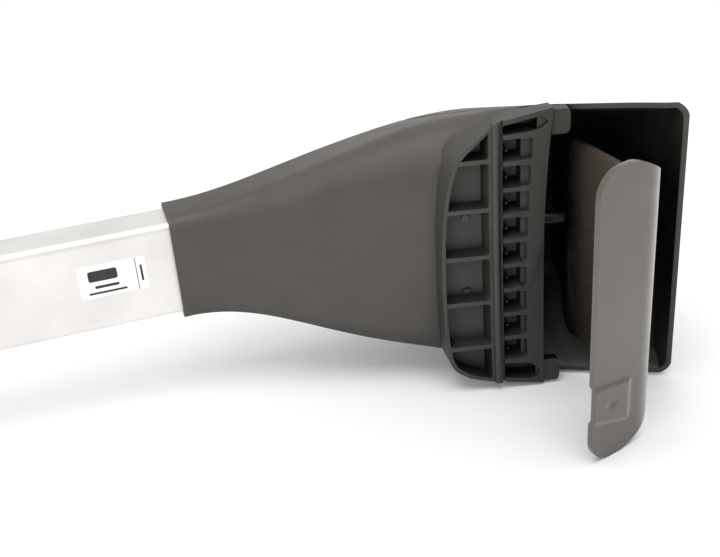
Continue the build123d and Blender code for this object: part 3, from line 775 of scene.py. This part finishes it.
def build_roof_pad():
    """One moulding: tapered block, bead, two rows of pockets, and ears."""
    under, seam = pad_outline(), pad_outline(0.0, SEAM_SHARES, PAD_DRAFT_RUN, PAD_FLARE / 2)
    count = len(under)
    levels = 5
    vertices, faces = [], [tuple(range(count)), tuple((levels - 1) * count + i for i in range(count))]
    for level in range(levels):
        t = level / (levels - 1)
        vertices += [on_pad(*p.lerp(q, t), t * PAD_THICKNESS) for p, q in zip(under, seam)]
    for first in range(0, (levels - 1) * count, count):
        for i in range(count):
            j = (i + 1) % count
            faces.append((first + i, first + j, first + count + j, first + count + i))
    pad = make_piece("pad", vertices, faces)
    for plug in inner_pockets() + end_pockets() + outer_pockets(True) + outer_pockets(False):
        cut(pad, joined_tool([plug]))
    past = PAD_HALF_WIDTH * 2
    groove = box_outline(BEAD_HALF_WIDTH - 0.1 * MM, OUTER_START + 0.2 * MM, -past, past)
    cut(pad, joined_tool([prism(groove, -3 * MM, GROOVE_DEPTH)]))
    holes = [circle_outline(a, z, SCREW_HOLE_RADIUS) for a, z in SCREW_PLACES]
    cut(pad, joined_tool([prism(hole, 2 * MM, PAD_THICKNESS + 2 * MM) for hole in holes]))
    cut(pad, bead_body(), "UNION")
    for place, end in EARS:
        cut(pad, ear_body(place, end), "UNION")
    cut(pad, joined_tool(pins()), "UNION")
    return bevelled(bowed(pad), 0.32 * MM, 2, radians(28))


fit_on_both(build_roof_pad(), "ribbed_pad", "pad_plastic", "root", "roof_pad")

# ------------------------------------------------------------------ casing and cover

for node, name, slot, body in (
    ("casing", "casing_shell", "casing_plastic", "root"),
    ("cover", "end_cover", "cover_plastic", "cover_body"),
):
    shell = bevelled(copied(f"right_{node}", "shell"), 0.5 * MM, 3, radians(35))
    fit_on_both(shell, name, slot, body, node)

# ------------------------------------------------------------------ printed label


def label_mark(name, along, across, length, width, radius):
    """A plain printed shape on the label, placed from its lower corner by shares of its size."""
    size = label_high - label_low
    centre = Vector((label_low.x + size.x * along, label_low.z + size.z * across))
    corners = [
        centre + Vector((sx * length / 2, sz * width / 2)) for sx, sz in ((-1, -1), (1, -1), (1, 1), (-1, 1))
    ]
    outline = softened(corners, radius, 8)
    face_y = label_low.y
    count = len(outline)
    front = [Vector((p.x, face_y - 0.03 * MM, p.y)) for p in outline]
    back = [Vector((p.x, face_y + 0.02 * MM, p.y)) for p in outline]
    faces = [tuple(range(count)), tuple(range(count, 2 * count))]
    faces += [(i, (i + 1) % count, count + (i + 1) % count, count + i) for i in range(count)]
    mark = make_piece(name, front + back, faces, smooth=False)
    mark.data.materials.append(ink("ink"))
    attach(mark, "root")


label_mark("label_patch", 0.36, 0.66, 14.5 * MM, 6.0 * MM, 1.4 * MM)
label_mark("label_line_a", 0.40, 0.32, 12.0 * MM, 1.5 * MM, 0.5 * MM)
label_mark("label_line_b", 0.40, 0.14, 19.0 * MM, 1.1 * MM, 0.4 * MM)
label_mark("label_divider", 0.853, 0.5, 0.35 * MM, 18.0 * MM, 0.1 * MM)
label_mark("label_side_line", 0.925, 0.5, 1.1 * MM, 9.0 * MM, 0.4 * MM)

# ------------------------------------------------------------------ floor and light

floor_z = cad_box[0][2]


def add_floor():
    mesh = bpy.data.meshes.new("floor")
    reach = 30.0
    corners = [(-reach, -reach), (reach, -reach), (reach, reach), (-reach, reach)]
    mesh.from_pydata([(x, y, floor_z) for x, y in corners], [], [(0, 1, 2, 3)])
    floor = bpy.data.objects.new("floor", mesh)
    scene.collection.objects.link(floor)
    look = Shading("floor", 0.6)
    look.colour(look.noise(3), (0.90, 0.90, 0.90), (0.92, 0.92, 0.92))
    mesh.materials.append(look.material)


def add_light(name, place, target, size, watts):
    data = bpy.data.lights.new(name, "AREA")
    data.shape = "RECTANGLE"
    data.size, data.size_y = size
    data.energy = watts
    lamp = bpy.data.objects.new(name, data)
    lamp.location = place
    lamp.rotation_euler = (Vector(target) - Vector(place)).to_track_quat("-Z", "Y").to_euler()
    scene.collection.objects.link(lamp)


def add_world():
    world = bpy.data.worlds.new("world")
    scene.world = world
    world.use_nodes = True
    background = world.node_tree.nodes["Background"]
    background.inputs["Color"].default_value = (1, 1, 1, 1)
    background.inputs["Strength"].default_value = 0.85


add_floor()
add_world()
middle = (0.45, 0, 0)
add_light("key", (0.35, -0.35, 1.5), middle, (1.3, 1.0), 14)
add_light("side", (-0.9, -1.1, 0.7), middle, (0.9, 0.7), 5)
scene.view_settings.view_transform = "Standard"
